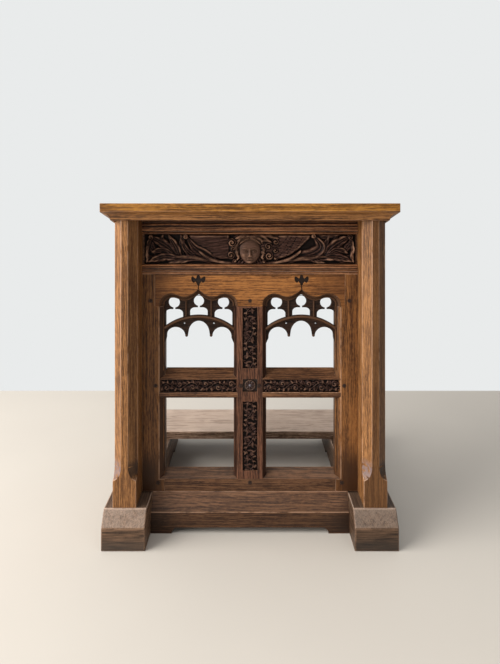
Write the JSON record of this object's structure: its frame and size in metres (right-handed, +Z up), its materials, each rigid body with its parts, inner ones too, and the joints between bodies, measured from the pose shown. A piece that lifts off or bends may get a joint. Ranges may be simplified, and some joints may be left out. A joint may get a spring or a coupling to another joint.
{
  "type": "prie dieu",
  "caption": "Carved oak prayer desk with a sloping top on end standards, a traceried front frame, sledge feet and a kneeling board.",
  "frame": {"origin": "on the floor, below the centre of the overall box", "axes": "+Z up, -Y out of the carved front, +Y towards the kneeling person, +X to the right when facing the carved front"},
  "size_m": [0.762, 0.58, 0.882],
  "materials": {
    "oak_top": "waxed golden oak, worn satin",
    "oak_standard": "waxed mid brown oak, worn arrises",
    "oak_frame": "waxed brown oak",
    "oak_carved": "dark patina in the carving, polished high spots",
    "oak_foot": "scuffed, dry oak with greyed end grain",
    "oak_kneeler": "worn bare, pale oak",
    "oak_peg": "dark end grain",
    "steel_screw": "plain steel"
  },
  "bodies": {
    "root": {"base_rail": "oak_frame", "book_ledge": "oak_top", "book_shelf": "oak_frame", "bottom_rail": "oak_frame", "desk_top": "oak_top", "frieze_rail": "oak_carved", "front_cornice": "oak_top", "head_rail": "oak_frame", "kneeler_board": "oak_kneeler", "left_bottom_peg": "oak_peg", "left_cornice": "oak_top", "left_foot": "oak_foot", "left_foot_peg_1": "oak_peg", "left_foot_peg_2": "oak_peg", "left_head_peg": "oak_peg", "left_kneeler_plug_1": "oak_peg", "left_kneeler_plug_2": "oak_peg", "left_kneeler_screw_1": "steel_screw", "left_kneeler_screw_2": "steel_screw", "left_mid_inner_peg": "oak_peg", "left_mid_outer_peg": "oak_peg", "left_mid_rail": "oak_carved", "left_standard": "oak_standard", "left_stile": "oak_frame", "left_tracery": "oak_carved", "muntin": "oak_carved", "muntin_foot_peg": "oak_peg", "muntin_head_peg": "oak_peg", "right_bottom_peg": "oak_peg", "right_cornice": "oak_top", "right_foot": "oak_foot", "right_foot_peg_1": "oak_peg", "right_foot_peg_2": "oak_peg", "right_head_peg": "oak_peg", "right_kneeler_plug_1": "oak_peg", "right_kneeler_plug_2": "oak_peg", "right_kneeler_screw_1": "steel_screw", "right_kneeler_screw_2": "steel_screw", "right_mid_inner_peg": "oak_peg", "right_mid_outer_peg": "oak_peg", "right_mid_rail": "oak_carved", "right_standard": "oak_standard", "right_stile": "oak_frame", "right_tracery": "oak_carved", "rosette": "oak_carved"}
  },
  "joints": []
}
